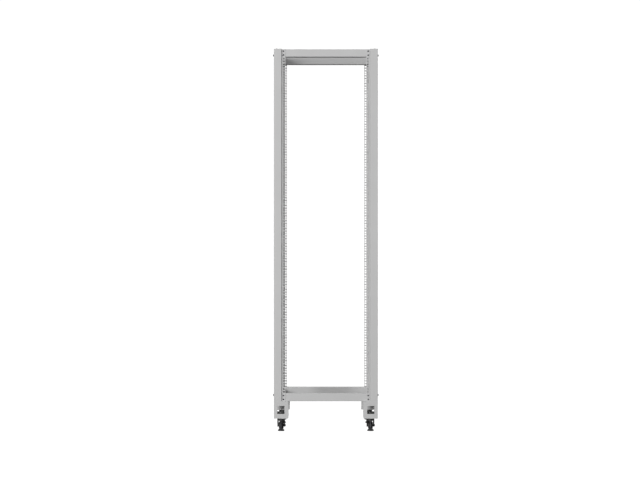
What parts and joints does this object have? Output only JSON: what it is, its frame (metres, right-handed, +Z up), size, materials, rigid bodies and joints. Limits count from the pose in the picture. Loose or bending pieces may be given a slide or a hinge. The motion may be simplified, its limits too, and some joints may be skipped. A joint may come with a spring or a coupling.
{
  "type": "open network rack",
  "caption": "Open four-post nineteen-inch equipment rack with square-hole rails, tube beams and swivel castors with hand-turned levelling feet.",
  "frame": {"origin": "on the floor under the middle of the rack, with the levelling feet down", "axes": "+Z up, -Y towards the front, +X to the right seen from the front"},
  "size_m": [0.587, 0.8, 2.1302],
  "materials": {
    "frame_paint": "fine-textured light grey powder coat",
    "zinc_fasteners": "zinc plated",
    "black_fasteners": "black oxide",
    "castor_steel": "black coated steel",
    "black_nylon": "moulded black nylon",
    "spindle_steel": "black oxide",
    "foot_rubber": "matt black rubber"
  },
  "bodies": {
    "frame": {"post_front_right": "frame_paint", "post_front_left": "frame_paint", "post_rear_right": "frame_paint", "post_rear_left": "frame_paint", "rail_front_right": "frame_paint", "rail_front_left": "frame_paint", "rail_rear_right": "frame_paint", "rail_rear_left": "frame_paint", "post_cap_front_right": "frame_paint", "post_cap_front_left": "frame_paint", "post_cap_rear_right": "frame_paint", "post_cap_rear_left": "frame_paint", "castor_bracket_front_right": "frame_paint", "castor_bracket_front_left": "frame_paint", "castor_bracket_rear_right": "frame_paint", "castor_bracket_rear_left": "frame_paint", "castor_mount_front_right": "castor_steel", "castor_mount_front_left": "castor_steel", "castor_mount_rear_right": "castor_steel", "castor_mount_rear_left": "castor_steel", "crossbar_bottom_front": "frame_paint", "crossbar_bottom_rear": "frame_paint", "crossbar_top_front": "frame_paint", "crossbar_top_rear": "frame_paint", "side_beam_bottom_right": "frame_paint", "side_beam_bottom_left": "frame_paint", "side_beam_top_right": "frame_paint", "side_beam_top_left": "frame_paint", "crossbar_screws": "black_fasteners", "side_bolts": "black_fasteners", "rail_screws": "zinc_fasteners", "cap_screws": "black_fasteners", "bracket_bolts": "zinc_fasteners", "castor_screws": "zinc_fasteners"},
    "fork_front_right": {"castor_fork_front_right": "castor_steel", "castor_axle_front_right": "castor_steel"},
    "wheel_front_right": {"castor_wheel_front_right": "black_nylon"},
    "dial_front_right": {"levelling_dial_front_right": "black_nylon"},
    "foot_front_right": {"levelling_spindle_front_right": "spindle_steel", "levelling_foot_front_right": "foot_rubber"},
    "fork_front_left": {"castor_fork_front_left": "castor_steel", "castor_axle_front_left": "castor_steel"},
    "wheel_front_left": {"castor_wheel_front_left": "black_nylon"},
    "dial_front_left": {"levelling_dial_front_left": "black_nylon"},
    "foot_front_left": {"levelling_spindle_front_left": "spindle_steel", "levelling_foot_front_left": "foot_rubber"},
    "fork_rear_right": {"castor_fork_rear_right": "castor_steel", "castor_axle_rear_right": "castor_steel"},
    "wheel_rear_right": {"castor_wheel_rear_right": "black_nylon"},
    "dial_rear_right": {"levelling_dial_rear_right": "black_nylon"},
    "foot_rear_right": {"levelling_spindle_rear_right": "spindle_steel", "levelling_foot_rear_right": "foot_rubber"},
    "fork_rear_left": {"castor_fork_rear_left": "castor_steel", "castor_axle_rear_left": "castor_steel"},
    "wheel_rear_left": {"castor_wheel_rear_left": "black_nylon"},
    "dial_rear_left": {"levelling_dial_rear_left": "black_nylon"},
    "foot_rear_left": {"levelling_spindle_rear_left": "spindle_steel", "levelling_foot_rear_left": "foot_rubber"}
  },
  "joints": [
    {"name": "swivel_front_right", "type": "hinge", "parent": "frame", "child": "fork_front_right", "pos_m": [0.249, -0.36, 0.067], "axis": [0, 0, 1], "continuous": true},
    {"name": "wheel_spin_front_right", "type": "hinge", "parent": "fork_front_right", "child": "wheel_front_right", "pos_m": [0.249, -0.322, 0.03], "axis": [1, 0, 0], "continuous": true},
    {"name": "dial_spin_front_right", "type": "hinge", "parent": "frame", "child": "dial_front_right", "pos_m": [0.249, -0.36, 0.1], "axis": [0, 0, 1], "range_deg": [-1800, 0]},
    {"name": "foot_lift_front_right", "type": "slide", "parent": "frame", "child": "foot_front_right", "axis": [0, 0, 1], "range_m": [0, 0.015]},
    {"name": "swivel_front_left", "type": "hinge", "parent": "frame", "child": "fork_front_left", "pos_m": [-0.249, -0.36, 0.067], "axis": [0, 0, 1], "continuous": true},
    {"name": "wheel_spin_front_left", "type": "hinge", "parent": "fork_front_left", "child": "wheel_front_left", "pos_m": [-0.249, -0.322, 0.03], "axis": [1, 0, 0], "continuous": true},
    {"name": "dial_spin_front_left", "type": "hinge", "parent": "frame", "child": "dial_front_left", "pos_m": [-0.249, -0.36, 0.1], "axis": [0, 0, 1], "range_deg": [-1800, 0]},
    {"name": "foot_lift_front_left", "type": "slide", "parent": "frame", "child": "foot_front_left", "axis": [0, 0, 1], "range_m": [0, 0.015]},
    {"name": "swivel_rear_right", "type": "hinge", "parent": "frame", "child": "fork_rear_right", "pos_m": [0.249, 0.36, 0.067], "axis": [0, 0, 1], "continuous": true},
    {"name": "wheel_spin_rear_right", "type": "hinge", "parent": "fork_rear_right", "child": "wheel_rear_right", "pos_m": [0.249, 0.322, 0.03], "axis": [1, 0, 0], "continuous": true},
    {"name": "dial_spin_rear_right", "type": "hinge", "parent": "frame", "child": "dial_rear_right", "pos_m": [0.249, 0.36, 0.1], "axis": [0, 0, 1], "range_deg": [-1800, 0]},
    {"name": "foot_lift_rear_right", "type": "slide", "parent": "frame", "child": "foot_rear_right", "axis": [0, 0, 1], "range_m": [0, 0.015]},
    {"name": "swivel_rear_left", "type": "hinge", "parent": "frame", "child": "fork_rear_left", "pos_m": [-0.249, 0.36, 0.067], "axis": [0, 0, 1], "continuous": true},
    {"name": "wheel_spin_rear_left", "type": "hinge", "parent": "fork_rear_left", "child": "wheel_rear_left", "pos_m": [-0.249, 0.322, 0.03], "axis": [1, 0, 0], "continuous": true},
    {"name": "dial_spin_rear_left", "type": "hinge", "parent": "frame", "child": "dial_rear_left", "pos_m": [-0.249, 0.36, 0.1], "axis": [0, 0, 1], "range_deg": [-1800, 0]},
    {"name": "foot_lift_rear_left", "type": "slide", "parent": "frame", "child": "foot_rear_left", "axis": [0, 0, 1], "range_m": [0, 0.015]}
  ],
  "couplings": [
    {"joint": "foot_lift_front_right", "follows": "dial_spin_front_right", "m_per_rad": -0.000477},
    {"joint": "foot_lift_front_left", "follows": "dial_spin_front_left", "m_per_rad": -0.000477},
    {"joint": "foot_lift_rear_right", "follows": "dial_spin_rear_right", "m_per_rad": -0.000477},
    {"joint": "foot_lift_rear_left", "follows": "dial_spin_rear_left", "m_per_rad": -0.000477}
  ]
}
